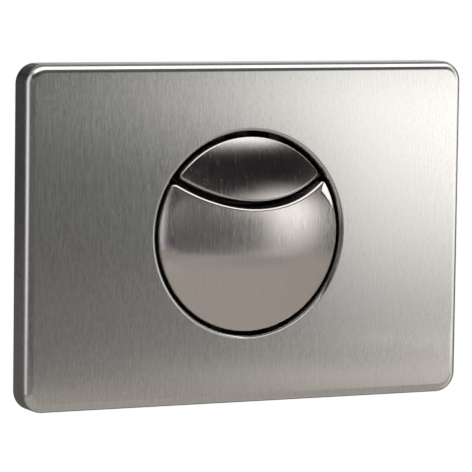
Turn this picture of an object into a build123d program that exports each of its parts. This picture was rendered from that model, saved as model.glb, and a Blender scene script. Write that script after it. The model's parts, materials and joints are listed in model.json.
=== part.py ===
from build123d import *
import os

# Flush button plate. X runs to the right, Z up, and the front looks along -Y.
# The wall is the plane y = 0, behind the middle of the plate. Sizes are in millimetres.

# cover plate
plate_w = 235.0
plate_h = 167.0
plate_d = 15.5
plate_sheet = 1.2
plate_corner_r = 10.0
plate_edge_r = 4.5
hole_r = 50.0
lip_r = 2.0
lip_len = 1.5

# the two buttons: one dome, cut by a curved split
small_gap = 2.4
full_gap = 1.7
rim_inset = 1.0
dome_rise = 12.0
split_mid_z = 14.7
split_r = 68.0
split_gap = 3.2
small_tip_r = 2.0
full_tip_r = 2.6
cap_sheet = 0.8
small_edge_r = 1.9
full_edge_r = 2.5
skirt_len = 3.0

# button bodies
glue_gap = 0.15
body_wall = 2.0
foot_t = 2.0
foot_inset = 0.3
post_r = 4.0
post_len = 3.5
small_post_up = 9.3
full_post_down = 22.7
cup_wall = 1.5
cup_depth = 6.0
small_spring_x = 20.0
small_spring_up = 15.3
full_spring_x = 24.0
full_spring_down = 24.7
rib_reach = 16.0

# hinges outside the opening
hinge_out = 8.0
pin_r = 1.25
pin_head_r = 2.2
pin_head_t = 1.2
pin_end = 0.9
eye_wall = 1.5
arm_x = 15.0
arm_w = 6.0
arm_t = 4.25
lug_w = 4.0
lug_wall = 2.0
pin_clip_r = 2.6
pin_clip_t = 0.6

# return springs
spring_r = 3.5
wire_r = 0.35
spring_turns = 6
spigot_len = 1.2

# carrier moulding behind the cover
carrier_t = 3.0
carrier_wall = 2.0
carrier_rear_gap = 2.0
well_wall = 2.4
collar_wall = 4.6
collar_t = 2.5
well_room = 10.5
floor_t = 2.5
divider_t = 1.4
divider_drop = 0.5
rib_t = 2.0
rib_h = 3.5
rib_out_z = 30.0
rib_out_x = 36.0
boss_r = 5.0
boss_h = 2.3
guide_wall = 2.9
guide_len = 10.5

# push rods
plunger_r = 5.0
plunger_head_r = 6.5
plunger_head_t = 2.0
plunger_len = 25.7
spindle_r = 3.0
spindle_len = 55.7
spindle_grip = 11.7
locknut_af = 10.0
locknut_t = 5.0
tip_r = 4.5
tip_len = 12.0
tip_end = 4.0

# studs and nuts that hold the carrier to the cover
stud_r = 2.0
stud_len = 9.0
stud_edge_x = 27.5
stud_edge_z = 23.5
nut_af = 7.0
nut_t = 3.2

# mounting frame on the wall
frame_t = 3.5
frame_corner_r = 6.0
frame_margin = 1.0
frame_head = 2.8
frame_rim_t = 2.0
frame_rim_h = 2.5
fixing_pitch = 160.0
fixing_slot = 16.0
fixing_thread_r = 3.0
fixing_shank_r = 4.0
fixing_shank_y = 3.0
fixing_end_y = 55.0
fixing_end = 0.6
washer_r = 9.0
washer_t = 1.2
knurl_nut_r = 9.5
knurl_nut_t = 4.5
knurl_count = 36
knurl_r = 0.5

# clips that hold the carrier on the mounting frame
blade_edge = 16.5
blade_z = 40.0
blade_t = 3.0
blade_w = 9.0
blade_end = 1.4
clip_t = 0.5
clip_w = 10.0
clip_flange = 3.0
clip_lift = 0.3

# clearances
pin_fit = 0.03
turn_fit = 0.06
slide_fit = 0.08
thread_fit = 0.05
seat_gap = 0.02
side_play = 0.4
lip_play = 0.4
part_play = 0.3
lift_play = 0.55
stop_gap = 0.05
push_gap = 0.3
nut_play = 0.5
cut_over = 1.0

# levels and places that follow
face_y = -plate_d
sheet_y = face_y + plate_sheet
lip_y = face_y + lip_r + lip_len
small_rim_r = hole_r - small_gap
full_rim_r = hole_r - full_gap
rim_y = face_y + rim_inset
apex_y = rim_y - dome_rise
dome_r = (full_rim_r ** 2 + dome_rise ** 2) / (2 * dome_rise)
dome_y = apex_y + dome_r
skirt_y = rim_y + skirt_len
foot_y = skirt_y + foot_t
split_z = split_mid_z + split_r
carrier_y = sheet_y + carrier_t
eye_r = pin_r + eye_wall
hinge_y = carrier_y + lift_play + eye_r
hinge_z = hole_r + hinge_out
arm_y = hinge_y - eye_r
lug_r = pin_r + lug_wall
lug_in = arm_x + arm_w / 2 + side_play
lug_out = lug_in + lug_w
floor_y = foot_y + well_room
floor_back_y = floor_y + floor_t
well_r = hole_r + lip_play
well_out_r = well_r + well_wall
nose_y = foot_y + post_len
small_post_z = split_mid_z + small_post_up
full_post_z = split_mid_z - full_post_down
small_spring_z = split_mid_z + small_spring_up
full_spring_z = split_mid_z - full_spring_down
cup_r = spring_r + part_play + cup_wall
cup_seat_y = foot_y - cup_depth
plunger_y = nose_y + push_gap
plunger_back_y = plunger_y + plunger_head_t + plunger_len
spindle_y = plunger_back_y - spindle_grip
spindle_back_y = spindle_y + spindle_len
carrier_inset = plate_edge_r + part_play
carrier_hole_r = hole_r + lip_r + seat_gap
stud_x = plate_w / 2 - stud_edge_x
stud_z = plate_h / 2 - stud_edge_z
boss_y = carrier_y + boss_h
frame_inset = carrier_inset + carrier_wall + frame_margin
frame_open_x = fixing_pitch / 2 - knurl_nut_r - frame_rim_t - nut_play
frame_open_z = hinge_z + lug_r + frame_head
frame_y = -frame_t
washer_y = frame_y - washer_t
blade_x = plate_w / 2 - blade_edge
clip_back_y = -clip_lift
clip_in = blade_t / 2 + part_play / 2
clip_out = clip_in + clip_t
window_x = clip_out + part_play
window_z = clip_w / 2 + part_play


def slab(face, front, back):
    return extrude(Plane.XZ.offset(-back) * face, amount=back - front)


def disc(x, z, r, front, back):
    return slab(Pos(x, z) * Circle(r), front, back)


def bar(y, z, r, left, right):
    return extrude(Plane.YZ.offset(left) * Pos(y, z) * Circle(r), amount=right - left)


def block(left, right, front, back, low, high):
    size = Box(right - left, back - front, high - low)
    return Pos((left + right) / 2, (front + back) / 2, (low + high) / 2) * size


def hexagon(x, z, across, front, back):
    return slab(Pos(x, z) * RegularPolygon(across / 2, 6, major_radius=False), front, back)


def four(x, z):
    return [(i * x, j * z) for i in (-1, 1) for j in (-1, 1)]


def plate_outline(inset):
    width = plate_w - 2 * inset
    height = plate_h - 2 * inset
    return RectangleRounded(width, height, plate_corner_r - inset)


# one solid of the pan's form, with its front edge rounded
def pan(inset, front, back, edge_r):
    body = slab(plate_outline(inset), front, back)
    rim = body.faces().sort_by(Axis.Y)[0].edges()
    return fillet(rim, edge_r)


# the sheet turns inwards around the opening
def rolled_lip():
    bend_r = hole_r + lip_r
    bend_y = face_y + lip_r
    outer_r = hole_r + plate_sheet
    front = RadiusArc((bend_r, face_y), (hole_r, bend_y), lip_r)
    wall = Polyline((hole_r, bend_y), (hole_r, lip_y), (outer_r, lip_y), (outer_r, bend_y))
    back = RadiusArc((outer_r, bend_y), (bend_r, sheet_y), plate_sheet - lip_r)
    join = Line((bend_r, sheet_y), (bend_r, face_y))
    profile = make_face([front, wall, back, join])
    return revolve(profile, Axis.Y, 360)


def cover_plate():
    outside = pan(0, face_y, 0, plate_edge_r)
    inside = pan(plate_sheet, sheet_y, cut_over, plate_edge_r - plate_sheet)
    opening = disc(0, 0, hole_r + lip_r, face_y - cut_over, cut_over)
    return outside - inside - opening + rolled_lip()


# outline of each button, set in by the same amount all round
def small_outline(inset):
    rim = Circle(small_rim_r - inset)
    low = Pos(0, split_z) * Circle(split_r - split_gap / 2 - inset)
    lens = rim & low
    tips = lens.vertices().sort_by(Axis.X)
    return fillet([tips[0], tips[-1]], max(small_tip_r - inset, wire_r))


def full_outline(inset):
    rim = Rot(0, 0, 90) * Circle(full_rim_r - inset)
    cut = Pos(0, split_z) * Rot(0, 0, 90) * Circle(split_r + split_gap / 2 + inset)
    moon = rim - cut
    tips = moon.vertices().sort_by(Axis.Y)
    return fillet(tips[-2:], max(full_tip_r - inset, wire_r))


# a block of the outline's form whose front follows the dome
def dome_block(face, drop, back):
    return slab(face, apex_y - cut_over, back) & Pos(0, dome_y, 0) * Sphere(dome_r - drop)


def button_cap(outline, edge_r):
    outside = dome_block(outline(0), 0, skirt_y)
    dome = outside.faces().filter_by(GeomType.SPHERE)[0]
    outside = fillet(dome.edges(), edge_r)
    inside = dome_block(outline(cap_sheet), cap_sheet, skirt_y + cut_over)
    return outside - inside


# rocker inside a cap; side is 1 where the hinge lies above and -1 where it lies below
def button_body(outline, side, post_z, spring_x, spring_z):
    skin = cap_sheet + glue_gap
    core = skin + body_wall
    half = skin + body_wall / 2
    body = dome_block(outline(skin), skin, skirt_y)
    body += slab(outline(foot_inset), skirt_y, foot_y)
    body -= dome_block(outline(core), core, foot_y + cut_over)
    inner = disc(0, post_z, post_r, apex_y, nose_y - post_r)
    inner += Pos(0, nose_y - post_r, post_z) * Sphere(post_r)
    for x in (-spring_x, spring_x):
        inner += disc(x, spring_z, cup_r, apex_y, foot_y)
    rib_top = side * (hole_r - rib_reach)
    low, high = sorted((rib_top, side * hinge_z))
    for x in (-arm_x, arm_x):
        inner += block(x - arm_w / 2, x + arm_w / 2, apex_y, arm_y + arm_t, low, high)
    inner &= dome_block(outline(half), half, floor_y)
    body += inner
    for x in (-arm_x, arm_x):
        left, right = x - arm_w / 2, x + arm_w / 2
        body += block(left, right, arm_y, arm_y + arm_t, low, high)
        body += bar(hinge_y, side * hinge_z, eye_r, left, right)
        body -= bar(hinge_y, side * hinge_z, pin_r + turn_fit, left - cut_over, right + cut_over)
    for x in (-spring_x, spring_x):
        body -= disc(x, spring_z, spring_r + part_play, cup_seat_y, floor_y)
    return body


def small_button_body():
    return button_body(small_outline, 1, small_post_z, small_spring_x, small_spring_z)


def full_button_body():
    return button_body(full_outline, -1, full_post_z, full_spring_x, full_spring_z)


def hinge_pin(side):
    z = side * hinge_z
    end = lug_out + pin_clip_t + pin_end
    return bar(hinge_y, z, pin_r, -lug_out, end) + bar(hinge_y, z, pin_head_r, -lug_out - pin_head_t, -lug_out)


def hinge_pin_clips():
    clips = []
    for side in (1, -1):
        z = side * hinge_z
        ring = bar(hinge_y, z, pin_clip_r, lug_out, lug_out + pin_clip_t)
        ring -= bar(hinge_y, z, pin_r + pin_fit, lug_out - cut_over, lug_out + pin_clip_t + cut_over)
        clips.append(ring)
    return clips


def return_spring(x, z):
    coil_r = spring_r - wire_r
    length = floor_y - cup_seat_y - 2 * (wire_r + seat_gap)
    path = Helix(length / spring_turns, length, coil_r)
    wire = sweep(Plane(path @ 0, z_dir=path % 0) * Circle(wire_r), path=path, is_frenet=True)
    return Pos(x, cup_seat_y + wire_r + seat_gap, z) * Rot(-90, 0, 0) * wire


# the well around the buttons, open to the front
def carrier_well():
    well = disc(0, 0, well_out_r, lip_y + stop_gap, floor_back_y)
    well += disc(0, 0, well_r + collar_wall, lip_y + stop_gap, lip_y + stop_gap + collar_t)
    well -= disc(0, 0, well_r, lip_y - cut_over, floor_y)
    return well


# thin wall in the split, a little behind the caps' skirts
def divider():
    band = Pos(0, split_z) * (Circle(split_r + divider_t / 2) - Circle(split_r - divider_t / 2))
    return slab(band & Circle(well_r + well_wall / 2), skirt_y + divider_drop, floor_y)


def hinge_lugs(side):
    z = side * hinge_z
    lugs = []
    for left, right in ((-lug_out, -lug_in), (lug_in, lug_out)):
        lug = bar(hinge_y, z, lug_r, left, right)
        lug += block(left, right, carrier_y, hinge_y, z - lug_r, z + lug_r)
        lugs.append(lug)
    return lugs


def carrier_ribs():
    wide = plate_w / 2 - carrier_inset - carrier_wall / 2
    tall = plate_h / 2 - carrier_inset - carrier_wall / 2
    back = carrier_y + rib_h
    ribs = []
    for z in (-rib_out_z, rib_out_z):
        ribs.append(block(-wide, wide, carrier_y, back, z - rib_t / 2, z + rib_t / 2))
    for x in (-rib_out_x, rib_out_x):
        ribs.append(block(x - rib_t / 2, x + rib_t / 2, carrier_y, back, -tall, tall))
    return ribs


def carrier_frame():
    body = slab(plate_outline(carrier_inset), sheet_y, carrier_y)
    rim = plate_outline(carrier_inset) - plate_outline(carrier_inset + carrier_wall)
    body += slab(rim, carrier_y, -carrier_rear_gap)
    for rib in carrier_ribs():
        body += rib
    for x, z in four(stud_x, stud_z):
        body += disc(x, z, boss_r, carrier_y, boss_y)
    for x, z in four(blade_x, blade_z):
        half_t, half_w = blade_t / 2, blade_w / 2
        body += block(x - half_t, x + half_t, carrier_y, -blade_end, z - half_w, z + half_w)
    for x, z in four(stud_x, stud_z):
        body -= disc(x, z, stud_r + part_play, sheet_y - cut_over, boss_y + cut_over)
    body -= disc(0, 0, carrier_hole_r, sheet_y - cut_over, lip_y + stop_gap)
    body -= disc(0, 0, well_r, sheet_y - cut_over, floor_y)
    body += carrier_well()
    body += divider()
    for z in (small_post_z, full_post_z):
        body += disc(0, z, plunger_r + guide_wall, floor_y, floor_back_y + guide_len)
    for z in (small_post_z, full_post_z):
        body -= disc(0, z, plunger_r + slide_fit, floor_y - cut_over, floor_back_y + guide_len + cut_over)
    for x, z in spring_places():
        body += disc(x, z, spring_r - 2 * wire_r - part_play, floor_y - spigot_len, floor_y)
    for side in (1, -1):
        body -= arm_slots(side)
        for lug in hinge_lugs(side):
            body += lug
        reach = lug_out + cut_over
        body -= bar(hinge_y, side * hinge_z, pin_r + pin_fit, -reach, reach)
    return body


def spring_places():
    small = [(x, small_spring_z) for x in (-small_spring_x, small_spring_x)]
    full = [(x, full_spring_z) for x in (-full_spring_x, full_spring_x)]
    return small + full


# the hinge arms pass under the collar, which also stops them at rest
def arm_slots(side):
    low, high = sorted((side * (hole_r - rib_reach), side * (hinge_z + eye_r + side_play)))
    slots = []
    for x in (-arm_x, arm_x):
        left, right = x - arm_w / 2 - side_play, x + arm_w / 2 + side_play
        slots.append(block(left, right, arm_y - stop_gap, arm_y + arm_t + arm_t / 2, low, high))
    return slots


def rod_plunger(z):
    body = disc(0, z, plunger_head_r, plunger_y, plunger_y + plunger_head_t)
    body += disc(0, z, plunger_r, plunger_y, plunger_back_y)
    return body - disc(0, z, spindle_r + thread_fit, spindle_y - part_play, plunger_back_y + cut_over)


def rod_spindle(z):
    return disc(0, z, spindle_r, spindle_y, spindle_back_y)


def rod_locknut(z):
    front = plunger_back_y + stop_gap
    nut = hexagon(0, z, locknut_af, front, front + locknut_t)
    return nut - disc(0, z, spindle_r + thread_fit, front - cut_over, front + locknut_t + cut_over)


def rod_tip(z):
    back = spindle_back_y + tip_end
    tip = fillet(disc(0, z, tip_r, back - tip_len, back).faces().sort_by(Axis.Y)[-1].edges(), tip_r / 3)
    return tip - disc(0, z, spindle_r + thread_fit, back - tip_len - cut_over, spindle_back_y + stop_gap)


def cover_studs():
    return [disc(x, z, stud_r, sheet_y, sheet_y + stud_len) for x, z in four(stud_x, stud_z)]


def cover_nuts():
    nuts = []
    for x, z in four(stud_x, stud_z):
        nut = hexagon(x, z, nut_af, boss_y, boss_y + nut_t)
        nuts.append(nut - disc(x, z, stud_r + thread_fit, boss_y - cut_over, boss_y + nut_t + cut_over))
    return nuts


def frame_ring(out_inset, in_grow):
    width = plate_w - 2 * (frame_inset + out_inset)
    height = plate_h - 2 * (frame_inset + out_inset)
    outer = RectangleRounded(width, height, frame_corner_r)
    opening = RectangleRounded(2 * (frame_open_x + in_grow), 2 * (frame_open_z + in_grow), frame_corner_r)
    return outer, opening


def mounting_frame():
    outer, opening = frame_ring(0, 0)
    inner, wider = frame_ring(frame_rim_t, frame_rim_t)
    body = slab(outer - opening, frame_y, 0)
    body += slab(outer - inner, frame_y - frame_rim_h, frame_y)
    body += slab(wider - opening, frame_y - frame_rim_h, frame_y)
    slot_w = 2 * (fixing_thread_r + side_play)
    for x in (-fixing_pitch / 2, fixing_pitch / 2):
        slot = Pos(x, 0) * SlotOverall(fixing_slot, slot_w)
        body -= slab(slot, frame_y - cut_over, cut_over)
    for x, z in four(blade_x, blade_z):
        body -= block(x - window_x, x + window_x, frame_y - cut_over, cut_over, z - window_z, z + window_z)
    return body


# hat-shaped leaf: two legs grip the carrier's blade, two flanges lie on the frame
def retaining_clips():
    clips = []
    for x, z in four(blade_x, blade_z):
        low, high = z - clip_w / 2, z + clip_w / 2
        clip = block(x - clip_out, x + clip_out, clip_back_y - clip_t, clip_back_y, low, high)
        for side in (-1, 1):
            leg = sorted((x + side * clip_in, x + side * clip_out))
            flange = sorted((x + side * clip_in, x + side * (clip_out + clip_flange)))
            clip += block(leg[0], leg[1], frame_y - clip_t, clip_back_y, low, high)
            clip += block(flange[0], flange[1], frame_y - clip_t, frame_y, low, high)
        clips.append(clip)
    return clips


def fixing_rod(x):
    front = washer_y - knurl_nut_t - fixing_end
    rod = disc(x, 0, fixing_thread_r, front, fixing_shank_y)
    return rod + disc(x, 0, fixing_shank_r, fixing_shank_y, fixing_end_y)


def fixing_washers():
    rings = []
    for x in (-fixing_pitch / 2, fixing_pitch / 2):
        ring = disc(x, 0, washer_r, washer_y, frame_y)
        rings.append(ring - disc(x, 0, fixing_thread_r + part_play, washer_y - cut_over, frame_y + cut_over))
    return rings


def fixing_nut(x):
    front = washer_y - knurl_nut_t
    nut = disc(x, 0, knurl_nut_r, front, washer_y)
    for place in PolarLocations(knurl_nut_r, knurl_count):
        spot = place.position
        nut -= disc(x + spot.X, spot.Y, knurl_r, front - cut_over, washer_y + cut_over)
    return nut - disc(x, 0, fixing_thread_r + thread_fit, front - cut_over, washer_y + cut_over)


pieces = {
    "cover_plate": cover_plate(),
    "carrier_frame": carrier_frame(),
    "small_button_cap": button_cap(small_outline, small_edge_r),
    "full_button_cap": button_cap(full_outline, full_edge_r),
    "small_button_body": small_button_body(),
    "full_button_body": full_button_body(),
    "small_hinge_pin": hinge_pin(1),
    "full_hinge_pin": hinge_pin(-1),
    "hinge_pin_clips": hinge_pin_clips(),
    "small_spring_left": return_spring(-small_spring_x, small_spring_z),
    "small_spring_right": return_spring(small_spring_x, small_spring_z),
    "full_spring_left": return_spring(-full_spring_x, full_spring_z),
    "full_spring_right": return_spring(full_spring_x, full_spring_z),
    "small_rod_plunger": rod_plunger(small_post_z),
    "small_rod_spindle": rod_spindle(small_post_z),
    "small_rod_locknut": rod_locknut(small_post_z),
    "small_rod_tip": rod_tip(small_post_z),
    "full_rod_plunger": rod_plunger(full_post_z),
    "full_rod_spindle": rod_spindle(full_post_z),
    "full_rod_locknut": rod_locknut(full_post_z),
    "full_rod_tip": rod_tip(full_post_z),
    "cover_studs": cover_studs(),
    "cover_nuts": cover_nuts(),
    "mounting_frame": mounting_frame(),
    "retaining_clips": retaining_clips(),
    "fixing_rod_left": fixing_rod(-fixing_pitch / 2),
    "fixing_rod_right": fixing_rod(fixing_pitch / 2),
    "fixing_washers": fixing_washers(),
    "fixing_nut_left": fixing_nut(-fixing_pitch / 2),
    "fixing_nut_right": fixing_nut(fixing_pitch / 2),
}

os.makedirs("parts", exist_ok=True)
for name, shape in pieces.items():
    if isinstance(shape, list):
        shape = Compound(children=[solid for item in shape for solid in item.solids()])
    export_step(shape, f"parts/{name}.step")
    print(name, len(shape.solids()), round(shape.volume, 1))
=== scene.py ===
import json
import math

import bmesh
import bpy
import numpy as np
from mathutils import Matrix, Vector


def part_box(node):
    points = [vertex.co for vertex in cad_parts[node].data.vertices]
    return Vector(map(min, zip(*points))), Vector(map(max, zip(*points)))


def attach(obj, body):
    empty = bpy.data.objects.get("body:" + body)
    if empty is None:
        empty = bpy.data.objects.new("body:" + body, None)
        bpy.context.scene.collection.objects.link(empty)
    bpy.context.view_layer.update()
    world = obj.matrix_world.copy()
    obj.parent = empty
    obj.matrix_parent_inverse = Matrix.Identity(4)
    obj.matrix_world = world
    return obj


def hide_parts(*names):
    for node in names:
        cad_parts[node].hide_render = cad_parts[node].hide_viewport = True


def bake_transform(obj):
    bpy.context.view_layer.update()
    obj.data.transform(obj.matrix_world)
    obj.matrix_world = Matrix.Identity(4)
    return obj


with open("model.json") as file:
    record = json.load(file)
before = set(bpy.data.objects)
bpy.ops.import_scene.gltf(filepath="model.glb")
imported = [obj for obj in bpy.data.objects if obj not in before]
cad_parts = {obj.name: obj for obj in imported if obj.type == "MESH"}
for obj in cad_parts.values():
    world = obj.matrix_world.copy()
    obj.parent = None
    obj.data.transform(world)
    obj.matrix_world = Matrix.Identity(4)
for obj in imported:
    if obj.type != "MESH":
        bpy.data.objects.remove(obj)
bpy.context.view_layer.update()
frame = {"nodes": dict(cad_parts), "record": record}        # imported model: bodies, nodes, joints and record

# Brushed steel flush plate with a split dome button. Metres, +Z up, the front looks along -Y.
nodes = frame["nodes"]
mm = 0.001
print("frame loaded:", len(nodes), "nodes")


# small helpers for node trees
def feed(tree, socket, value):
    if isinstance(value, bpy.types.NodeSocket):
        tree.links.new(value, socket)
    else:
        socket.default_value = value


def addNode(tree, kind, inputs=None, **settings):
    node = tree.nodes.new(kind)
    for name, value in settings.items():
        setattr(node, name, value)
    for name, value in (inputs or {}).items():
        feed(tree, node.inputs[name], value)
    return node


def calc(tree, operation, *values):
    node = addNode(tree, "ShaderNodeMath", operation=operation)
    for socket, value in zip(node.inputs, values):
        feed(tree, socket, value)
    return node.outputs[0]


def remap(tree, value, low, high, toLow=0.0, toHigh=1.0, ramp="SMOOTHSTEP"):
    node = addNode(tree, "ShaderNodeMapRange", interpolation_type=ramp)
    for socket, given in zip(node.inputs, (value, low, high, toLow, toHigh)):
        feed(tree, socket, given)
    return node.outputs[0]


def mixColour(tree, share, first, second):
    node = addNode(tree, "ShaderNodeMix", data_type="RGBA")
    for socket, value in zip((node.inputs[0], node.inputs[6], node.inputs[7]), (share, first, second)):
        feed(tree, socket, value)
    return node.outputs[2]


def vectorCalc(tree, operation, *values):
    node = addNode(tree, "ShaderNodeVectorMath", operation=operation)
    for socket, value in zip(node.inputs, values):
        feed(tree, socket, value)
    return node.outputs["Value" if operation == "DISTANCE" else "Vector"]


def newMaterial(name):
    material = bpy.data.materials.new(name)
    material.use_nodes = True
    tree = material.node_tree
    return material, tree, tree.nodes["Principled BSDF"]


# shows light of its own, or a blend with light, in place of the usual shader
def showInstead(tree, shader):
    feed(tree, tree.nodes["Material Output"].inputs["Surface"], shader.outputs[0])


def objectCoords(tree):
    return addNode(tree, "ShaderNodeTexCoord").outputs["Object"]


# noise on object coordinates, with its own size along each axis
def noise(tree, coords, scale, detail=2.0, seed=0.0):
    mapping = addNode(tree, "ShaderNodeMapping", {"Vector": coords, "Scale": scale, "Location": (seed,) * 3})
    inputs = {"Vector": mapping.outputs[0], "Scale": 1.0, "Detail": detail}
    return addNode(tree, "ShaderNodeTexNoise", inputs).outputs[0]


def grey(level):
    return (level, level, level, 1.0)


# darkest and lightest shade of a look
def shades(look):
    dark = [c * (1.0 - look["tone"]) for c in look["colour"]] + [1.0]
    light = [min(1.0, c * (1.0 + look["tone"])) for c in look["colour"]] + [1.0]
    return dark, light


def addBump(tree, shader, height, depth):
    bump = addNode(tree, "ShaderNodeBump", {"Strength": 1.0, "Distance": depth, "Height": height})
    feed(tree, shader.inputs["Normal"], bump.outputs[0])


# brushed steel, its grain running up the front and along the sides
coverLook = {"colour": (0.64, 0.633, 0.612), "roughness": 0.19, "anisotropy": 1.0, "fast": 3000.0,
             "long": 60.0, "short": 480.0, "tone": 0.13, "rub": 0.03, "bump": 1.0e-5, "seed": 0.0}
capLook = {"colour": (0.632, 0.6, 0.575), "roughness": 0.21, "anisotropy": 1.0, "fast": 2600.0,
           "long": 60.0, "short": 240.0, "tone": 0.06, "rub": 0.075, "bump": 2.0e-5, "seed": 7.0}
grain = {"side": (0.55, 0.85), "sideSeed": 3.0, "longShare": 0.4, "shortShare": 0.6, "range": (0.25, 0.75),
         "across": (0.0, 0.2, 1.0)}
specks = {"level": 0.02, "inner": 0.6, "outer": 1.3,
          "spots": (((-117.5 * mm, -7.8 * mm, -17.8 * mm), 0.65 * mm),)}        # place and radius


def streaks(tree, coords, look, slow):
    fast = look["fast"]
    front = noise(tree, coords, (fast, slow, slow), seed=look["seed"])
    side = noise(tree, coords, (slow, fast, slow), seed=look["seed"] + grain["sideSeed"])
    normal = addNode(tree, "ShaderNodeNewGeometry").outputs["Normal"]
    across = addNode(tree, "ShaderNodeSeparateXYZ", {0: normal}).outputs[0]
    share = remap(tree, calc(tree, "ABSOLUTE", across), *grain["side"])
    return addNode(tree, "ShaderNodeMix", {0: share, 2: front, 3: side}).outputs[0]


def brushedSteel(name, look, spots=()):
    material, tree, shader = newMaterial(name)
    coords = objectCoords(tree)
    long = calc(tree, "MULTIPLY", streaks(tree, coords, look, look["long"]), grain["longShare"])
    short = calc(tree, "MULTIPLY", streaks(tree, coords, look, look["short"]), grain["shortShare"])
    tone = calc(tree, "ADD", long, short)
    colour = mixColour(tree, remap(tree, tone, *grain["range"]), *shades(look))
    for place, radius in spots:
        offset = vectorCalc(tree, "DISTANCE", coords, place)
        spot = remap(tree, offset, radius * specks["inner"], radius * specks["outer"], 1.0, 0.0)
        colour = mixColour(tree, spot, colour, grey(specks["level"]))
    smooth, rough = look["roughness"] - look["rub"], look["roughness"] + look["rub"]
    feed(tree, shader.inputs["Base Color"], colour)
    feed(tree, shader.inputs["Roughness"], remap(tree, tone, *grain["range"], smooth, rough))
    shader.inputs["Metallic"].default_value = 1.0
    shader.inputs["Anisotropic"].default_value = look["anisotropy"]
    normal = addNode(tree, "ShaderNodeNewGeometry").outputs["Normal"]
    tangent = vectorCalc(tree, "CROSS_PRODUCT", normal, grain["across"])
    feed(tree, shader.inputs["Tangent"], vectorCalc(tree, "NORMALIZE", tangent))
    addBump(tree, shader, tone, look["bump"])
    return material


# mouldings: fine texture in the colour, the gloss and the surface
mouldLooks = {
    "black_plastic": {"colour": (0.006, 0.006, 0.006), "roughness": 0.24, "texture": 220.0, "tone": 0.3,
                      "bump": 4.0e-6, "gloss": 0.22},
    "body_plastic": {"colour": (0.008, 0.008, 0.008), "roughness": 0.42, "texture": 900.0, "tone": 0.35,
                     "bump": 1.2e-5, "gloss": 0.2},
    "white_plastic": {"colour": (0.76, 0.76, 0.73), "roughness": 0.40, "texture": 700.0, "tone": 0.05,
                      "bump": 8.0e-6, "gloss": 0.5},
    "grey_plastic": {"colour": (0.40, 0.41, 0.42), "roughness": 0.46, "texture": 1100.0, "tone": 0.10,
                     "bump": 1.6e-5, "gloss": 0.5},
    "rubber": {"colour": (0.030, 0.030, 0.031), "roughness": 0.78, "texture": 1400.0, "tone": 0.4,
               "bump": 2.0e-5, "gloss": 0.5},
}
mould = {"cloud": 60.0, "cloudSeed": 5.0, "share": 0.5, "tones": (0.3, 0.7), "patches": (0.2, 0.8),
         "smooth": 0.85, "rough": 1.15}


def moulding(name, look):
    material, tree, shader = newMaterial(name)
    coords = objectCoords(tree)
    texture = noise(tree, coords, (look["texture"],) * 3, detail=3.0)
    cloud = noise(tree, coords, (mould["cloud"],) * 3, seed=mould["cloudSeed"])
    fine = calc(tree, "MULTIPLY", texture, mould["share"])
    tone = calc(tree, "ADD", fine, calc(tree, "MULTIPLY", cloud, 1.0 - mould["share"]))
    colour = mixColour(tree, remap(tree, tone, *mould["tones"]), *shades(look))
    smooth, rough = look["roughness"] * mould["smooth"], look["roughness"] * mould["rough"]
    feed(tree, shader.inputs["Base Color"], colour)
    feed(tree, shader.inputs["Roughness"], remap(tree, cloud, *mould["patches"], smooth, rough))
    shader.inputs["Specular IOR Level"].default_value = look["gloss"]
    addBump(tree, shader, texture, look["bump"])
    return material


# turned and drawn steel: fine rings along the depth of the plate
turnedLooks = {
    "bright_steel": {"colour": (0.62, 0.61, 0.60), "roughness": 0.27, "rings": 5200.0, "tone": 0.12,
                     "bump": 6.0e-6},
    "spring_steel": {"colour": (0.48, 0.47, 0.46), "roughness": 0.33, "rings": 2600.0, "tone": 0.18,
                     "bump": 5.0e-6},
}
turned = {"around": 90.0, "stain": 140.0, "stainSeed": 4.0, "tones": (0.3, 0.7), "grooves": (0.2, 0.8),
          "smooth": 0.75, "rough": 1.3}


def turnedSteel(name, look):
    material, tree, shader = newMaterial(name)
    coords = objectCoords(tree)
    rings = noise(tree, coords, (turned["around"], look["rings"], turned["around"]))
    stain = noise(tree, coords, (turned["stain"],) * 3, detail=3.0, seed=turned["stainSeed"])
    colour = mixColour(tree, remap(tree, stain, *turned["tones"]), *shades(look))
    smooth, rough = look["roughness"] * turned["smooth"], look["roughness"] * turned["rough"]
    feed(tree, shader.inputs["Base Color"], colour)
    feed(tree, shader.inputs["Roughness"], remap(tree, rings, *turned["grooves"], smooth, rough))
    shader.inputs["Metallic"].default_value = 1.0
    addBump(tree, shader, rings, look["bump"])
    return material


finishes = {"cover_steel": brushedSteel("cover_steel_brushed", coverLook, specks["spots"]),
            "cap_steel": brushedSteel("cap_steel_brushed", capLook)}
for slotName, look in mouldLooks.items():
    finishes[slotName] = moulding(slotName + "_moulded", look)
for slotName, look in turnedLooks.items():
    finishes[slotName] = turnedSteel(slotName + "_turned", look)
slotOf = {part["node"]: part["material_slot"] for part in frame["record"]["subparts"]}
for node, piece in nodes.items():
    piece.data.materials.clear()
    piece.data.materials.append(finishes[slotOf[node]])
print("finishes made:", len(finishes))


def addPiece(name, data):
    piece = bpy.data.objects.new(name, data)
    bpy.context.scene.collection.objects.link(piece)
    return piece


# shares along a way, without its two ends
def between(steps):
    return np.linspace(0.0, 1.0, steps + 1)[1:-1]


# a ring of points, with normals for the face towards the ring before it and for the one towards the next
def ring(points, before, after=None):
    return np.array(points), np.array(before), np.array(before if after is None else after)


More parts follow.
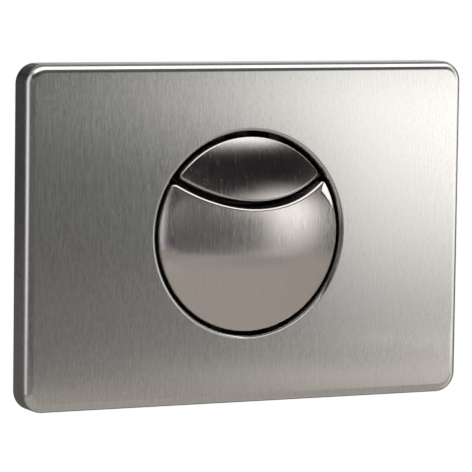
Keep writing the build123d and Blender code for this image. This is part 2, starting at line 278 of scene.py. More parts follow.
# a closed skin over rings; poles are points that close its ends
def skin(name, rings, finish, closed=False, poles=()):
    count = len(rings[0][0])
    points = [p for r in rings for p in r[0]]
    faces, normals = [], []
    pairs = list(zip(range(len(rings) - 1), range(1, len(rings))))
    if closed:
        pairs.append((len(rings) - 1, 0))
    for a, b in pairs:
        for i in range(count):
            j = (i + 1) % count
            faces.append((a * count + i, a * count + j, b * count + j, b * count + i))
            normals += [rings[a][2][i], rings[a][2][j], rings[b][1][j], rings[b][1][i]]
    for end, point, normal in poles:
        start = 0 if end == "first" else (len(rings) - 1) * count
        side = rings[0][1] if end == "first" else rings[-1][2]
        middle = len(points)
        points.append(point)
        for i in range(count):
            j = (i + 1) % count
            if end == "first":
                faces.append((middle, start + j, start + i))
                normals += [normal, side[j], side[i]]
            else:
                faces.append((start + i, start + j, middle))
                normals += [side[i], side[j], normal]
    # one face tells whether all of them look inwards and have to be turned
    places = np.array(points)
    sample = len(faces) // 3
    first, second, third = places[list(faces[sample][:3])]
    corner = sum(len(f) for f in faces[:sample])
    if np.dot(np.cross(second - first, third - first), normals[corner]) < 0.0:
        flipped, start = [], 0
        for k, face in enumerate(faces):
            flipped += normals[start:start + len(face)][::-1]
            start += len(face)
            faces[k] = face[::-1]
        normals = flipped
    mesh = bpy.data.meshes.new(name)
    mesh.from_pydata([tuple(q) for q in places], [], faces)
    mesh.shade_smooth()
    mesh.normals_split_custom_set([tuple(n) for n in normals])
    mesh.materials.append(finish)
    return addPiece(name, mesh)


# flat outlines hold x and z
def lift(flat, y):
    return np.stack([flat[:, 0], np.full(len(flat), y), flat[:, 1]], axis=1)


def facing(count, y):
    return np.tile([0.0, y, 0.0], (count, 1))


# the pan: sheet drawn over a rounded edge, with a lip rolled in around the opening
coverLow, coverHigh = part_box("cover_plate")
pan = {"width": coverHigh.x - coverLow.x, "height": coverHigh.z - coverLow.z,
       "depth": coverHigh.y - coverLow.y, "sheet": 1.2 * mm, "corner": 10.0 * mm, "edge": 4.5 * mm,
       "hole": 50.0 * mm, "lip": 2.0 * mm, "lipLength": 1.5 * mm, "burr": 0.15 * mm,
       "calmArc": (-98.0, -88.0, -45.0, -25.0),
       "calmTurn": ((0.0, 15.0, 22.5, 60.0, 90.0), (0.0, 22.0, 52.0, 68.0, 90.0))}
panSteps = {"corner": 20, "long": 56, "short": 40, "bend": 12, "wall": 5, "face": 9, "lipSkip": 4}


# rounded rectangle: each corner, then the straight side that leads to the next corner
def panOutline(inset):
    radius = pan["corner"] - inset
    reach = np.array([pan["width"], pan["height"]]) / 2 - inset - radius
    corners = [reach * way for way in ((1, 1), (-1, 1), (-1, -1), (1, -1))]
    points, normals = [], []
    for k, centre in enumerate(corners):
        for turn in np.radians(np.linspace(90.0 * k, 90.0 * (k + 1), panSteps["corner"] + 1)):
            normals.append([math.cos(turn), math.sin(turn)])
            points.append(centre + radius * np.array(normals[-1]))
        first = points[-1]
        target = corners[(k + 1) % 4] + radius * np.array(normals[-1])
        for t in between(panSteps["short"] if k % 2 else panSteps["long"]):
            points.append(first + t * (target - first))
            normals.append(normals[-1])
    return np.array(points), np.array(normals)


def makePan():
    frontY, backY = -pan["depth"], 0.0
    edge, sheet, burr, lip, hole = pan["edge"], pan["sheet"], pan["burr"], pan["lip"], pan["hole"]
    outline, outward = panOutline(0.0)
    count = len(outline)
    out3 = lift(outward, 0.0)
    front, back = facing(count, -1.0), facing(count, 1.0)
    bend = np.radians(np.linspace(0.0, 90.0, panSteps["bend"] + 1))
    rings = []
    # rear rim and outer wall
    rings.append(ring(lift(panOutline(sheet - burr)[0], backY), back))
    rings.append(ring(lift(panOutline(burr)[0], backY), back))
    rings.append(ring(lift(outline, backY - burr), out3))
    for t in between(panSteps["wall"]):
        rings.append(ring(lift(outline, (backY - burr) * (1.0 - t) + (frontY + edge) * t), out3))
    # rounded front edge
    for turn in bend:
        flat = panOutline(edge * (1.0 - math.cos(turn)))[0]
        level = frontY + edge * (1.0 - math.sin(turn))
        rings.append(ring(lift(flat, level), out3 * math.cos(turn) + front * math.sin(turn)))
    # flat face, from the rounded rectangle in to the round lip
    faceRim = panOutline(edge)[0]
    angle = np.arctan2(faceRim[:, 1], faceRim[:, 0])
    radial = np.stack([np.cos(angle), np.sin(angle)], axis=1)
    radial3 = lift(radial, 0.0)
    lipRim = radial * (hole + lip)
    for t in between(panSteps["face"]):
        rings.append(ring(lift(faceRim * (1.0 - t) + lipRim * t, frontY), front))
    # the lip; below the button its shine turns in more sharply, so that less of it is light
    calm = np.interp(np.degrees(angle), pan["calmArc"], (0.0, 1.0, 1.0, 0.0))[:, None]
    for turn in bend:
        flat = radial * (hole + lip * (1.0 - math.sin(turn)))
        level = frontY + lip * (1.0 - math.cos(turn))
        shown = turn + calm * (np.radians(np.interp(np.degrees(turn), *pan["calmTurn"])) - turn)
        rings.append(ring(lift(flat, level), front * np.cos(shown) - radial3 * np.sin(shown)))
    # end of the lip and its outer side
    lipEnd = frontY + lip + pan["lipLength"]
    rings.append(ring(lift(radial * hole, lipEnd - burr), -radial3))
    rings.append(ring(lift(radial * (hole + burr), lipEnd), back))
    rings.append(ring(lift(radial * (hole + sheet - burr), lipEnd), back))
    rings.append(ring(lift(radial * (hole + sheet), lipEnd - burr), radial3))
    inner = lip - sheet
    for turn in bend[::panSteps["lipSkip"]]:
        flat = radial * (hole + sheet + inner * (1.0 - math.cos(turn)))
        level = frontY + lip - inner * math.sin(turn)
        rings.append(ring(lift(flat, level), radial3 * math.cos(turn) + back * math.sin(turn)))
    # back of the face, inner bend and inner wall
    for t in between(panSteps["wall"]):
        rings.append(ring(lift(lipRim * (1.0 - t) + faceRim * t, frontY + sheet), back))
    for turn in bend[::-1]:
        flat = panOutline(edge - (edge - sheet) * math.cos(turn))[0]
        level = frontY + edge - (edge - sheet) * math.sin(turn)
        rings.append(ring(lift(flat, level), -out3 * math.cos(turn) + back * math.sin(turn)))
    rings.append(ring(lift(panOutline(sheet)[0], backY - burr), -out3))
    return skin("brushed_pan", rings, finishes["cover_steel"], closed=True)


brushedPan = makePan()
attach(brushedPan, "plate")
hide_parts("cover_plate")
print("pan made:", len(brushedPan.data.polygons), "faces")


# the two caps: parts of one dome, each with a rolled edge and a short skirt
dome = {"rise": 12.0 * mm, "rimInset": 1.0 * mm, "splitMid": 14.7 * mm, "splitRadius": 68.0 * mm,
        "splitGap": 3.2 * mm, "smallGap": 2.4 * mm, "fullGap": 1.7 * mm, "smallTip": 2.0 * mm,
        "fullTip": 2.6 * mm, "sheet": 0.8 * mm, "smallEdge": 1.4 * mm, "fullEdge": 1.7 * mm,
        "skirt": 3.0 * mm, "burr": 0.12 * mm, "sink": 0.015 * mm, "smallHeart": 30.0 * mm,
        "fullHeart": -20.0 * mm}
shine = {"lean": 0.6, "leanFrom": 0.72, "leanWidth": 10.5 * mm, "leanFade": 2,
         "tipLean": (-0.3, 0.0, 0.52), "tipLength": 15.0 * mm, "tipWidth": 5.8 * mm, "tipFade": 3.0}
capSteps = {"rim": 150, "split": 110, "tip": 16, "bend": 14, "dome": 30, "crowding": 1.6, "inside": 12}
domeRim = pan["hole"] - dome["fullGap"]
domeRadius = (domeRim ** 2 + dome["rise"] ** 2) / (2.0 * dome["rise"])
rimY = -pan["depth"] + dome["rimInset"]
domeMiddle = np.array([0.0, rimY - dome["rise"] + dome["sink"] + domeRadius, 0.0])
splitZ = dome["splitMid"] + dome["splitRadius"]


def arc(middle, radius, start, end, steps, sign=1.0):
    turn = np.linspace(start, end, steps, endpoint=False)
    normal = np.stack([np.cos(turn), np.sin(turn)], axis=1)
    return np.array(middle) + radius * normal, sign * normal


# a cap's outline: rim arc, two rounded tips and the split's arc; bulge is 1 for the lens, -1 for the other
def capOutline(bulge, inset):
    gap, tip = (dome["smallGap"], dome["smallTip"]) if bulge > 0 else (dome["fullGap"], dome["fullTip"])
    tip -= inset
    rim = pan["hole"] - gap - inset
    split = dome["splitRadius"] - bulge * (dome["splitGap"] / 2 + inset)
    toRim, toSplit = rim - tip, split - bulge * tip
    z = (toRim ** 2 - toSplit ** 2 + splitZ ** 2) / (2.0 * splitZ)
    x = math.sqrt(toRim ** 2 - z ** 2)
    atRim = math.atan2(z, x)
    atSplit = math.atan2(z - splitZ, x)
    half = math.pi
    if bulge > 0:
        spans = (arc((0, 0), rim, atRim, half - atRim, capSteps["rim"]),
                 arc((-x, z), tip, half - atRim, half - atSplit, capSteps["tip"]),
                 arc((0, splitZ), split, -half - atSplit, atSplit, capSteps["split"]),
                 arc((x, z), tip, atSplit, atRim, capSteps["tip"]))
    else:
        spans = (arc((0, 0), rim, half - atRim, 2.0 * half + atRim, capSteps["rim"]),
                 arc((x, z), tip, atRim, atSplit + half, capSteps["tip"]),
                 arc((0, splitZ), split, atSplit, -half - atSplit, capSteps["split"], -1.0),
                 arc((-x, z), tip, -atSplit, half - atRim, capSteps["tip"]))
    return np.concatenate([s[0] for s in spans]), np.concatenate([s[1] for s in spans])


def onDome(flat, radius):
    y = domeMiddle[1] - np.sqrt(radius ** 2 - (flat ** 2).sum(axis=1))
    points = np.stack([flat[:, 0], y, flat[:, 1]], axis=1)
    return points, (points - domeMiddle) / radius


def unit(vectors):
    return vectors / np.linalg.norm(vectors, axis=1)[:, None]


# 1 along the rim, 0 along the split
def rimShare():
    tip = np.linspace(1.0, 0.0, capSteps["tip"])
    return np.concatenate([np.ones(capSteps["rim"]), tip, np.zeros(capSteps["split"]), tip[::-1]])[:, None]


# heart is the height of the point that all rings shrink to
def makeCap(name, bulge, heart):
    outline, outward = capOutline(bulge, 0.0)
    count = len(outline)
    out3 = lift(outward, 0.0)
    back = facing(count, 1.0)
    skirtY = rimY + dome["skirt"]
    edge = dome["smallEdge"] if bulge > 0 else dome["fullEdge"]
    burr, sheet = dome["burr"], dome["sheet"]
    heart = np.array([0.0, heart])
    innerLine, innerOut = capOutline(bulge, sheet)
    innerRadius = domeRadius - sheet
    innerTop, innerNormal = onDome(innerLine, innerRadius)
    rings = []
    # inside, from its middle out and down to the skirt's end
    for s in between(capSteps["inside"]):
        points, normal = onDome(heart + s * (innerLine - heart), innerRadius)
        rings.append(ring(points, -normal))
    rings.append(ring(innerTop, -innerNormal, -lift(innerOut, 0.0)))
    rings.append(ring(lift(innerLine, skirtY - burr), -lift(innerOut, 0.0)))
    rings.append(ring(lift(innerLine + innerOut * burr, skirtY), back))
    rings.append(ring(lift(outline - outward * burr, skirtY), back))
    rings.append(ring(lift(outline, skirtY - burr), out3))
    # a ball that rolls along the edge, touching skirt and dome
    ballFlat = outline - edge * outward
    ball, toDome = onDome(ballFlat, domeRadius - edge)
    spread = np.arccos(np.clip((out3 * toDome).sum(axis=1), -1.0, 1.0))[:, None]
    # at the large cap's left rim the shine leans out, as on a sheet that starts to curve before its edge
    left = np.clip((-outward[:, :1] - shine["leanFrom"]) / (1.0 - shine["leanFrom"]), 0.0, 1.0)
    lean = left * rimShare() * (0.0 if bulge > 0 else shine["lean"]) * out3
    # at its right tip the shine leans up and catches the top light
    fromTip = (outline[:, 1:] - outline[:, 1].max()) / shine["tipLength"]
    atTip = np.clip(1.0 + fromTip, 0.0, 1.0) * rimShare() * (outline[:, :1] > 0.0) * (bulge < 0)
    tipLean = np.array([shine["tipLean"]])
    caught = np.clip(shine["tipFade"] * atTip, 0.0, 1.0) * tipLean
    for t in np.linspace(0.0, 1.0, capSteps["bend"] + 1):
        normal = (np.sin((1.0 - t) * spread) * out3 + np.sin(t * spread) * toDome) / np.sin(spread)
        rings.append(ring(ball + edge * normal, unit(normal + t * (lean + caught))))
    # the dome, from the edge in to the heart, with closer rings at the edge
    domeEdge = (ball + edge * toDome)[:, [0, 2]]
    far = np.linalg.norm(domeEdge - heart, axis=1)[:, None]
    for s in 1.0 - between(capSteps["dome"]) ** capSteps["crowding"]:
        points, normal = onDome(heart + s * (domeEdge - heart), domeRadius)
        fromEdge = (1.0 - s) * far
        fade = np.clip(1.0 - fromEdge / shine["leanWidth"], 0.0, 1.0) ** shine["leanFade"]
        inPatch = 1.0 - fromEdge / np.maximum(shine["tipWidth"] * atTip, burr)
        caught = np.clip(shine["tipFade"] * inPatch, 0.0, 1.0) * (atTip > 0.0) * tipLean
        rings.append(ring(points, unit(normal + fade * lean + caught)))
    top, topNormal = onDome(heart[None, :], domeRadius)
    inside, insideNormal = onDome(heart[None, :], innerRadius)
    poles = (("first", inside[0], -insideNormal[0]), ("last", top[0], topNormal[0]))
    return skin(name, rings, finishes["cap_steel"], poles=poles)


smallCap = makeCap("half_flush_cap", 1, dome["smallHeart"])
fullCap = makeCap("full_flush_cap", -1, dome["fullHeart"])
for cap, button in ((smallCap, "small_button"), (fullCap, "full_button")):
    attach(cap, button)
    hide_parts(button + "_cap")
print("caps made:", len(smallCap.data.polygons), "and", len(fullCap.data.polygons), "faces")


# node trees for what winds round an axis: sizes are named inputs, the base mesh gives the places
def newTree(name, sizes):
    tree = bpy.data.node_groups.new(name, "GeometryNodeTree")
    tree.interface.new_socket("Geometry", in_out="INPUT", socket_type="NodeSocketGeometry")
    for label, kind in sizes.items():
        tree.interface.new_socket(label, in_out="INPUT", socket_type="NodeSocket" + kind)
    tree.interface.new_socket("Geometry", in_out="OUTPUT", socket_type="NodeSocketGeometry")
    return tree, tree.nodes.new("NodeGroupInput").outputs


def endTree(tree, places, shape, finish):
    smooth = addNode(tree, "GeometryNodeSetShadeSmooth", {"Geometry": shape})
    copies = addNode(tree, "GeometryNodeInstanceOnPoints", {"Points": places, "Instance": smooth.outputs[0]})
    real = addNode(tree, "GeometryNodeRealizeInstances", {"Geometry": copies.outputs[0]})
    painted = addNode(tree, "GeometryNodeSetMaterial", {"Geometry": real.outputs[0], "Material": finish})
    addNode(tree, "NodeGroupOutput", {"Geometry": painted.outputs[0]})
    return tree


def grow(name, tree, places, sizes, sharp):
    base = bpy.data.meshes.new(name + "_places")
    base.from_pydata([tuple(p) for p in places], [], [])
    piece = addPiece(name, base)
    modifier = piece.modifiers.new("wind", "NODES")
    modifier.node_group = tree
    for socket in tree.interface.items_tree:
        if socket.in_out == "INPUT" and socket.name in sizes:
            modifier[socket.identifier] = sizes[socket.name]
    evaluated = piece.evaluated_get(bpy.context.evaluated_depsgraph_get())
    mesh = bpy.data.meshes.new_from_object(evaluated)
    piece.modifiers.remove(modifier)
    piece.data = mesh
    mesh.name = name
    bpy.data.meshes.remove(base)
    mesh.set_sharp_from_angle(angle=math.radians(sharp))
    return piece


# return springs: closed turns at both ends, open ones between
spring = {"wire": 0.35 * mm, "turns": 7.0, "closed": 1.0, "points": 300, "around": 10, "sharp": 60.0}


def springTree(finish):
    tree, size = newTree("wound_spring", {"Coil Radius": "Float", "Wire Radius": "Float", "Turns": "Float",
                                          "Closed Turns": "Float", "Length": "Float", "Points": "Int",
                                          "Around": "Int"})
    line = addNode(tree, "GeometryNodeCurvePrimitiveLine")
    path = addNode(tree, "GeometryNodeResampleCurve", {"Curve": line.outputs[0], "Count": size["Points"]})
    along = addNode(tree, "GeometryNodeSplineParameter").outputs["Factor"]
    turn = calc(tree, "MULTIPLY", calc(tree, "MULTIPLY", along, size["Turns"]), math.tau)
    wire = calc(tree, "MULTIPLY", size["Wire Radius"], 2.0)
    closed = calc(tree, "DIVIDE", size["Closed Turns"], size["Turns"])
    opened = remap(tree, along, closed, calc(tree, "SUBTRACT", 1.0, closed), ramp="LINEAR")
    packed = calc(tree, "MULTIPLY", wire, size["Turns"])
    spare = calc(tree, "SUBTRACT", calc(tree, "SUBTRACT", size["Length"], wire), packed)
    rise = calc(tree, "ADD", calc(tree, "MULTIPLY", packed, along), calc(tree, "MULTIPLY", spare, opened))
    place = addNode(tree, "ShaderNodeCombineXYZ", {
        0: calc(tree, "MULTIPLY", calc(tree, "COSINE", turn), size["Coil Radius"]),
        1: calc(tree, "ADD", rise, size["Wire Radius"]),
        2: calc(tree, "MULTIPLY", calc(tree, "SINE", turn), size["Coil Radius"])})
    coil = addNode(tree, "GeometryNodeSetPosition", {
        "Geometry": path.outputs[0], "Position": place.outputs[0]})
    section = addNode(tree, "GeometryNodeCurvePrimitiveCircle", {
        "Resolution": size["Around"], "Radius": size["Wire Radius"]})
    tube = addNode(tree, "GeometryNodeCurveToMesh", {
        "Curve": coil.outputs[0], "Profile Curve": section.outputs[0], "Fill Caps": True})
    return endTree(tree, size["Geometry"], tube.outputs[0], finish)


def makeSprings():
    tree = springTree(finishes["spring_steel"])
    for side in ("left", "right"):
        for button in ("small", "full"):
            node = button + "_spring_" + side
            low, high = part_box(node)
            middle = (low + high) / 2
            sizes = {"Coil Radius": (high.x - low.x) / 2 - spring["wire"], "Wire Radius": spring["wire"],
                     "Turns": spring["turns"], "Closed Turns": spring["closed"], "Length": high.y - low.y,
                     "Points": spring["points"], "Around": spring["around"]}
            coil = grow("wound_" + node, tree, [(middle.x, low.y, middle.z)], sizes, spring["sharp"])
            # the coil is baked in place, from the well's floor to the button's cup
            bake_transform(coil)
            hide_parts(node)


makeSprings()
print("springs wound")

# threads, cut into the rods and studs that are plain in the solids
fixingThread = {"slot": "bright_steel", "body": "plate", "pitch": 1.25 * mm, "neck": 3.0 * mm}
threads = {"fixing_rod_left": fixingThread,
           "fixing_rod_right": fixingThread,
           "small_rod_spindle": {"slot": "white_plastic", "body": "small_rod", "pitch": 1.5 * mm},
           "full_rod_spindle": {"slot": "white_plastic", "body": "full_rod", "pitch": 1.5 * mm},
           "cover_studs": {"slot": "bright_steel", "body": "plate", "pitch": 0.7 * mm, "radius": 2.0 * mm}}
threadCut = {"depth": 0.58, "crest": 0.12, "root": 0.84, "lead": 0.25 * mm, "steps": 7, "around": 28,
             "sharp": 34.0, "neckRadius": 3.0 * mm, "neckPitch": 1.0 * mm, "overlap": 1.0 * mm}


def threadTree(name, finish):
    tree, size = newTree(name, {"Radius": "Float", "Length": "Float", "Pitch": "Float", "Depth": "Float",
                                "Lead": "Float", "Rings": "Int", "Around": "Int"})
    bar = addNode(tree, "GeometryNodeMeshCylinder", {
        "Vertices": size["Around"], "Side Segments": size["Rings"], "Radius": size["Radius"],
        "Depth": size["Length"]})
    position = addNode(tree, "GeometryNodeInputPosition").outputs[0]
    axes = addNode(tree, "ShaderNodeSeparateXYZ", {0: position}).outputs
    turn = calc(tree, "DIVIDE", calc(tree, "ARCTAN2", axes[1], axes[0]), math.tau)
    phase = calc(tree, "FRACT", calc(tree, "SUBTRACT", calc(tree, "DIVIDE", axes[2], size["Pitch"]), turn))
    wave = calc(tree, "ABSOLUTE", calc(tree, "SUBTRACT", calc(tree, "MULTIPLY", phase, 2.0), 1.0))
    flank = remap(tree, wave, threadCut["crest"], threadCut["root"], ramp="LINEAR")
    groove = calc(tree, "MULTIPLY", flank, size["Depth"])
    # both ends are bevelled
    halfLength = calc(tree, "MULTIPLY", size["Length"], 0.5)
    fromEnd = calc(tree, "SUBTRACT", halfLength, calc(tree, "ABSOLUTE", axes[2]))
    bevel = calc(tree, "SUBTRACT", calc(tree, "ADD", size["Depth"], size["Lead"]), fromEnd)
    cutIn = calc(tree, "DIVIDE", calc(tree, "MAXIMUM", groove, bevel), size["Radius"])
    share = calc(tree, "SUBTRACT", 1.0, cutIn)
    # laid down along the plate's depth
    downwards = calc(tree, "MULTIPLY", calc(tree, "MULTIPLY", axes[1], share), -1.0)
    place = addNode(tree, "ShaderNodeCombineXYZ", {
        0: calc(tree, "MULTIPLY", axes[0], share), 1: axes[2], 2: downwards})
    cut = addNode(tree, "GeometryNodeSetPosition", {
        "Geometry": bar.outputs["Mesh"], "Position": place.outputs[0]})
    return endTree(tree, size["Geometry"], cut.outputs[0], finish)


def threadedBar(name, tree, spots, radius, front, back, pitch):
    length = back - front
    sizes = {"Radius": radius, "Length": length, "Pitch": pitch, "Depth": pitch * threadCut["depth"],
             "Lead": threadCut["lead"], "Rings": int(length / pitch * threadCut["steps"]),
             "Around": threadCut["around"]}
    return grow(name, tree, [(x, (front + back) / 2, z) for x, z in spots], sizes, threadCut["sharp"])


def makeThreads():
    trees = {}
    for slot in ("bright_steel", "white_plastic"):
        trees[slot] = threadTree("cut_thread_" + slot, finishes[slot])
    for node, cut in threads.items():
        low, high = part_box(node)
        middle, radius = (low + high) / 2, cut.get("radius", (high.x - low.x) / 2)
        spots = [(middle.x, middle.z)]
        if node == "cover_studs":
            rows = (low.z + radius, high.z - radius)
            spots = [(x, z) for x in (low.x + radius, high.x - radius) for z in rows]
        front = cut.get("neck", low.y)
        tree = trees[cut["slot"]]
        bar = threadedBar("threaded_" + node, tree, spots, radius, front, high.y, cut["pitch"])
        # a thinner front end, made as a bar of its own and joined
        if "neck" in cut:
            neck = threadedBar("neck", tree, spots, threadCut["neckRadius"], low.y,
                               front + threadCut["overlap"], threadCut["neckPitch"])
            both = bmesh.new()
            both.from_mesh(bar.data)
            both.from_mesh(neck.data)
            both.to_mesh(bar.data)
            both.free()
            bpy.data.objects.remove(neck)
        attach(bar, cut["body"])
        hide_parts(node)


makeThreads()
print("threads cut")


# camera: long lens, from the left and a little above
view = {"lens": 257.0, "sensor": 36.0, "yaw": 25.6663, "pitch": -5.4547, "roll": 0.7937,
        "distance": 1660.2 * mm, "target": (0.339 * mm, 0.0, -2.860 * mm), "nudge": 0.246 * mm,
        "near": 0.05, "far": 50.0}


def placeCamera():
    yaw, pitch, roll = (math.radians(view[k]) for k in ("yaw", "pitch", "roll"))
    ahead = Vector((math.sin(yaw) * math.cos(pitch), math.cos(yaw) * math.cos(pitch), math.sin(pitch)))
    level = Vector((math.cos(yaw), -math.sin(yaw), 0.0))
    above = level.cross(ahead)
    right = level * math.cos(roll) + above * math.sin(roll)
    up = above * math.cos(roll) - level * math.sin(roll)
    place = Vector(view["target"]) - ahead * view["distance"] + (up - right) * view["nudge"]
    lens = bpy.data.cameras.new("plate_camera")
    lens.lens = view["lens"]
    lens.sensor_width = view["sensor"]
    lens.clip_start = view["near"]
    lens.clip_end = view["far"]
    camera = addPiece("plate_camera", lens)
    turn = Matrix((right, up, -ahead)).transposed()
    camera.matrix_world = Matrix.Translation(place) @ turn.to_4x4()
    bpy.context.scene.camera = camera


placeCamera()
print("camera placed")

# studio: pale floor, white surround, and a grey room and soft boxes that the camera doesn't see
surround = {"white": 1.0, "fill": 0.5}
# each box: middle, half width, half height, light, and soft shares at its left, right, low and high edges
softBoxes = {
    "right_box": {"middle": (0.3225, -0.24, 0.021), "across": (0.2175, 0.0, 0.0), "up": (0.0, 0.0, 0.122),
                  "light": 1.71, "soft": (0.166, 0.3, 0.568, 0.411), "tint": (1.0, 0.985, 0.965)},
    "right_card": {"middle": (0.349, -0.245, -0.008), "across": (0.196, 0.0, 0.0), "up": (0.0, 0.0, 0.085),
                   "light": 0.68, "soft": (0.053, 0.135, 0.015, 0.646), "tint": (1.0, 0.985, 0.965)},
    "low_card": {"middle": (0.152, -0.25, -0.078), "across": (0.288, 0.0, 0.0), "up": (0.0, 0.0, 0.051),
                 "light": 0.29, "soft": (0.624, 0.78, 0.423, 0.398), "tint": (1.0, 0.96, 0.92)},
    "glow_box": {"middle": (0.109, -0.255, 0.057), "across": (0.122, 0.0, 0.0), "up": (0.0, 0.0, 0.057),
                 "light": 1.57, "soft": (0.694, 0.134, 0.813, 0.701), "tint": (1.0, 1.0, 0.98)},
    "top_box": {"middle": (0.35, -0.75, 1.45), "across": (1.5, 0.0, 0.0), "up": (0.0, 0.85, 0.0),
                "light": 2.1, "soft": (0.15, 0.15, 0.29, 0.235), "tint": (1.0, 1.0, 1.0)},
    "left_box": {"middle": (-0.5, -0.1, 0.117), "across": (0.0, -0.19, 0.0), "up": (0.0, 0.0, 0.462),
                 "light": 1.68, "soft": (0.443, 0.548, 0.393, 0.288), "tint": (0.978, 0.945, 1.0)},
    "side_card": {"middle": (0.126, -0.021, 0.0), "across": (0.0, 0.006, 0.0), "up": (0.0, 0.0, 0.16),
                  "light": 1.75, "soft": (0.35, 0.3, 0.56, 0.1), "tint": (1.0, 0.98, 0.95), "reach": 0.03},
    "edge_card": {"middle": (0.0175, -0.05, 0.0999), "across": (0.14, 0.0, 0.0), "up": (0.0, 0.0, 0.0085),
                  "light": 0.2, "soft": (0.05, 0.05, 0.3, 0.3), "tint": (1.0, 0.95, 0.91)},
    "overhead": {"middle": (0.35, 0.17, 1.46), "across": (1.5, 0.0, 0.0), "up": (0.0, 0.5, 0.0),
                 "light": 0.15, "soft": (0.05, 0.05, 0.2, 0.4), "tint": (1.0, 1.0, 1.0)},
    "lens_shade": {"middle": (0.8, -1.41, 1.43), "across": (0.42, 0.0, 0.0), "up": (0.0, 0.16, 0.0),
                   "light": 0.45, "soft": (0.5, 0.5, 0.5, 0.5), "tint": (1.0, 1.0, 1.0)},
    "camera_card": {"middle": (-0.82, -1.45, 0.404), "across": (0.21, -0.12, 0.0), "up": (0.0, 0.0, 0.658),
                    "light": 0.5, "soft": (0.71, 0.109, 0.539, 0.526), "tint": (0.98, 0.99, 1.0)},
    "back_box": {"middle": (1.1, 1.35, 0.584), "across": (0.7, -0.5, 0.0), "up": (0.0, 0.0, 0.78),
                 "light": 0.88, "soft": (0.255, 0.01, 0.056, 0.3), "tint": (0.96, 0.95, 1.0)},
    "table_glow": {"middle": (0.556, -0.499, -0.146), "across": (0.391, 0.0, 0.0), "up": (0.0, 0.161, 0.0),
                   "light": 1.91, "soft": (0.602, 0.141, 0.34, 0.378), "tint": (1.0, 0.95, 0.91)},
    "table_spot": {"middle": (0.265, -0.505, -0.145), "across": (0.075, 0.0, 0.0), "up": (0.0, 0.06, 0.0),
                   "light": 1.5, "soft": (0.5, 0.5, 0.4, 0.4), "tint": (1.0, 0.95, 0.91)},
    "table_card": {"middle": (0.0, -0.248, -0.148), "across": (0.9, 0.0, 0.0), "up": (0.0, 0.278, 0.0),
                   "light": 0.47, "soft": (0.45, 0.276, 0.01, 0.05), "tint": (1.0, 0.925, 0.87)},
    "back_table": {"middle": (-0.4, 1.0, -0.149), "across": (1.0, 0.0, 0.0), "up": (0.0, 1.0, 0.0),
                   "light": 0.12, "soft": (0.2, 0.2, 0.02, 0.679), "tint": (1.0, 0.97, 0.94)},
}


def stageOnly(piece, cameraSees):
    piece.visible_camera = cameraSees
    piece.visible_shadow = cameraSees


def plainSheet(name, corners, material):
    mesh = bpy.data.meshes.new(name)
    mesh.from_pydata([tuple(c) for c in corners], [], [(0, 1, 2, 3)])
    uv = mesh.uv_layers.new(name="UVMap")
    for k, spot in enumerate(((0, 0), (1, 0), (1, 1), (0, 1))):
        uv.data[k].uv = spot
    mesh.materials.append(material)
    return addPiece(name, mesh)


def softBoxMaterial(name, box):
    material, tree = newMaterial(name)[:2]
    spot = addNode(tree, "ShaderNodeSeparateXYZ", {0: addNode(tree, "ShaderNodeTexCoord").outputs["UV"]})
    share = 1.0
    left, right, low, high = box["soft"]
    for axis, near, far in ((spot.outputs[0], left, right), (spot.outputs[1], low, high)):
        share = calc(tree, "MULTIPLY", share, remap(tree, axis, 0.0, near))
        share = calc(tree, "MULTIPLY", share, remap(tree, axis, 1.0 - far, 1.0, 1.0, 0.0))
    if "reach" in box:        # a card that lights only what is close to it
        length = addNode(tree, "ShaderNodeLightPath").outputs["Ray Length"]
        share = calc(tree, "MULTIPLY", share, calc(tree, "LESS_THAN", length, box["reach"]))
    glow = addNode(tree, "ShaderNodeEmission", {"Color": (*box["tint"], 1.0), "Strength": box["light"]})
    clear = addNode(tree, "ShaderNodeBsdfTransparent")
    showInstead(tree, addNode(tree, "ShaderNodeMixShader", {
        0: share, 1: clear.outputs[0], 2: glow.outputs[0]}))
    return material


def addSoftBoxes():
    for name, box in softBoxes.items():
        middle, across, up = (Vector(box[k]) for k in ("middle", "across", "up"))
        corners = (middle - across - up, middle + across - up, middle + across + up, middle - across + up)
        stageOnly(plainSheet(name, corners, softBoxMaterial(name, box)), False)


# the grey room: its tone follows the height and the side that the steel looks towards, in degrees
room = {"radius": 2.4, "steps": 48, "levels": 24}
roomTone = {"wall": 0.139, "dark": 0.018, "ceiling": 0.403, "back": 0.049, "wallTop": (16.0, 17.2),
            "darkTop": (34.5, 46.0), "slope": (-40.0, 90.0, -9.0, 9.0), "turnLeft": (-60.0, -15.0),
            "turnRight": (80.0, 100.0)}


def roomMaterial():
    material, tree = newMaterial("grey_room")[:2]
    place = addNode(tree, "ShaderNodeNewGeometry").outputs["Position"]
    axes = addNode(tree, "ShaderNodeSeparateXYZ", {0: vectorCalc(tree, "NORMALIZE", place)}).outputs
    height = calc(tree, "DEGREES", calc(tree, "ARCSINE", axes[2]))
    side = calc(tree, "DEGREES", calc(tree, "ARCTAN2", axes[0], calc(tree, "MULTIPLY", axes[1], -1.0)))
    rightwards = remap(tree, side, *roomTone["turnLeft"])
    leftwards = remap(tree, side, *roomTone["turnRight"], 1.0, 0.0)
    ahead = calc(tree, "MULTIPLY", rightwards, leftwards)
    wall = remap(tree, ahead, 0.0, 1.0, roomTone["back"], roomTone["wall"])
    aboveWall = remap(tree, height, *roomTone["wallTop"])
    low = addNode(tree, "ShaderNodeMix", {0: aboveWall, 2: wall, 3: roomTone["dark"]})
    # the ceiling's edge comes lower to the right
    slope = calc(tree, "ADD", height, remap(tree, side, *roomTone["slope"], "LINEAR"))
    aboveDark = remap(tree, slope, *roomTone["darkTop"])
    tone = addNode(tree, "ShaderNodeMix", {0: aboveDark, 2: low.outputs[0], 3: roomTone["ceiling"]})
    showInstead(tree, addNode(tree, "ShaderNodeEmission", {"Color": grey(1.0), "Strength": tone.outputs[0]}))
    return material


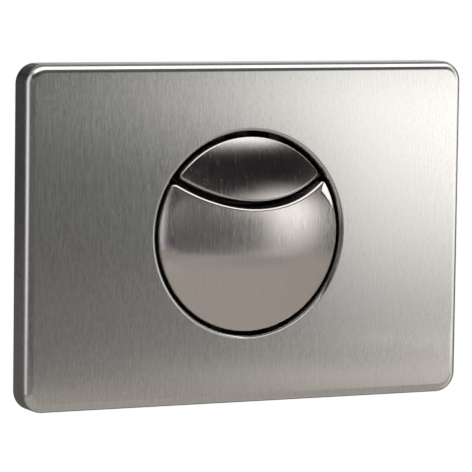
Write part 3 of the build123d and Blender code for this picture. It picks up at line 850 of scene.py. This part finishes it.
def addRoom():
    mesh = bpy.data.meshes.new("grey_room")
    radius, steps, levels = room["radius"], room["steps"], room["levels"]
    points = [(0.0, 0.0, -radius), (0.0, 0.0, radius)]
    for level in range(1, levels):
        rise = math.pi * (level / levels - 0.5)
        flat = radius * math.cos(rise)
        for step in range(steps):
            turn = math.tau * step / steps
            points.append((flat * math.cos(turn), flat * math.sin(turn), radius * math.sin(rise)))
    faces = []
    for level in range(levels - 2):
        for step in range(steps):
            a, b = 2 + level * steps + step, 2 + level * steps + (step + 1) % steps
            faces.append((a, a + steps, b + steps, b))
    last = 2 + (levels - 2) * steps
    for step in range(steps):
        faces.append((0, 2 + step, 2 + (step + 1) % steps))
        faces.append((1, last + (step + 1) % steps, last + step))
    mesh.from_pydata(points, [], faces)
    mesh.materials.append(roomMaterial())
    stageOnly(addPiece("grey_room", mesh), False)


# white to the camera and to steel that looks past the room; plain light for the rest
def seenShare(tree):
    rays = addNode(tree, "ShaderNodeLightPath").outputs
    return calc(tree, "MAXIMUM", rays["Is Camera Ray"], rays["Is Glossy Ray"])


def addSurround():
    world = bpy.data.worlds.new("white_surround")
    bpy.context.scene.world = world
    world.use_nodes = True
    tree = world.node_tree
    back = tree.nodes["Background"]
    back.inputs["Color"].default_value = grey(1.0)
    strength = remap(tree, seenShare(tree), 0.0, 1.0, surround["fill"], surround["white"])
    feed(tree, back.inputs["Strength"], strength)


floor = {"level": -1.0, "size": 30.0, "cloud": 2.0, "dark": 0.82, "light": 0.86, "roughness": 0.8,
         "glow": 1.0}


def addFloor():
    material, tree, shader = newMaterial("pale_floor")
    shade = noise(tree, objectCoords(tree), (floor["cloud"],) * 3)
    feed(tree, shader.inputs["Base Color"], mixColour(tree, shade, grey(floor["dark"]), grey(floor["light"])))
    shader.inputs["Roughness"].default_value = floor["roughness"]
    glow = addNode(tree, "ShaderNodeEmission", {"Color": grey(1.0), "Strength": floor["glow"]})
    showInstead(tree, addNode(tree, "ShaderNodeMixShader", {
        0: seenShare(tree), 1: shader.outputs[0], 2: glow.outputs[0]}))
    half, level = floor["size"] / 2, floor["level"]
    corners = ((-half, -half, level), (half, -half, level), (half, half, level), (-half, half, level))
    stageOnly(plainSheet("pale_floor", corners, material), True)


# a lamp behind the plate for its mouldings, which the steel doesn't mirror
backLamp = {"place": (-0.55, 1.25, 0.8), "size": 1.2, "power": 21.0}


def addBackLamp():
    lamp = bpy.data.lights.new("back_lamp", "AREA")
    lamp.size = backLamp["size"]
    lamp.energy = backLamp["power"]
    piece = addPiece("back_lamp", lamp)
    place = Vector(backLamp["place"])
    piece.matrix_world = Matrix.Translation(place) @ place.to_track_quat("Z", "Y").to_matrix().to_4x4()
    piece.visible_glossy = False


addSurround()
addFloor()
addRoom()
addSoftBoxes()
addBackLamp()
bpy.context.scene.view_settings.view_transform = "Standard"
print("studio set")
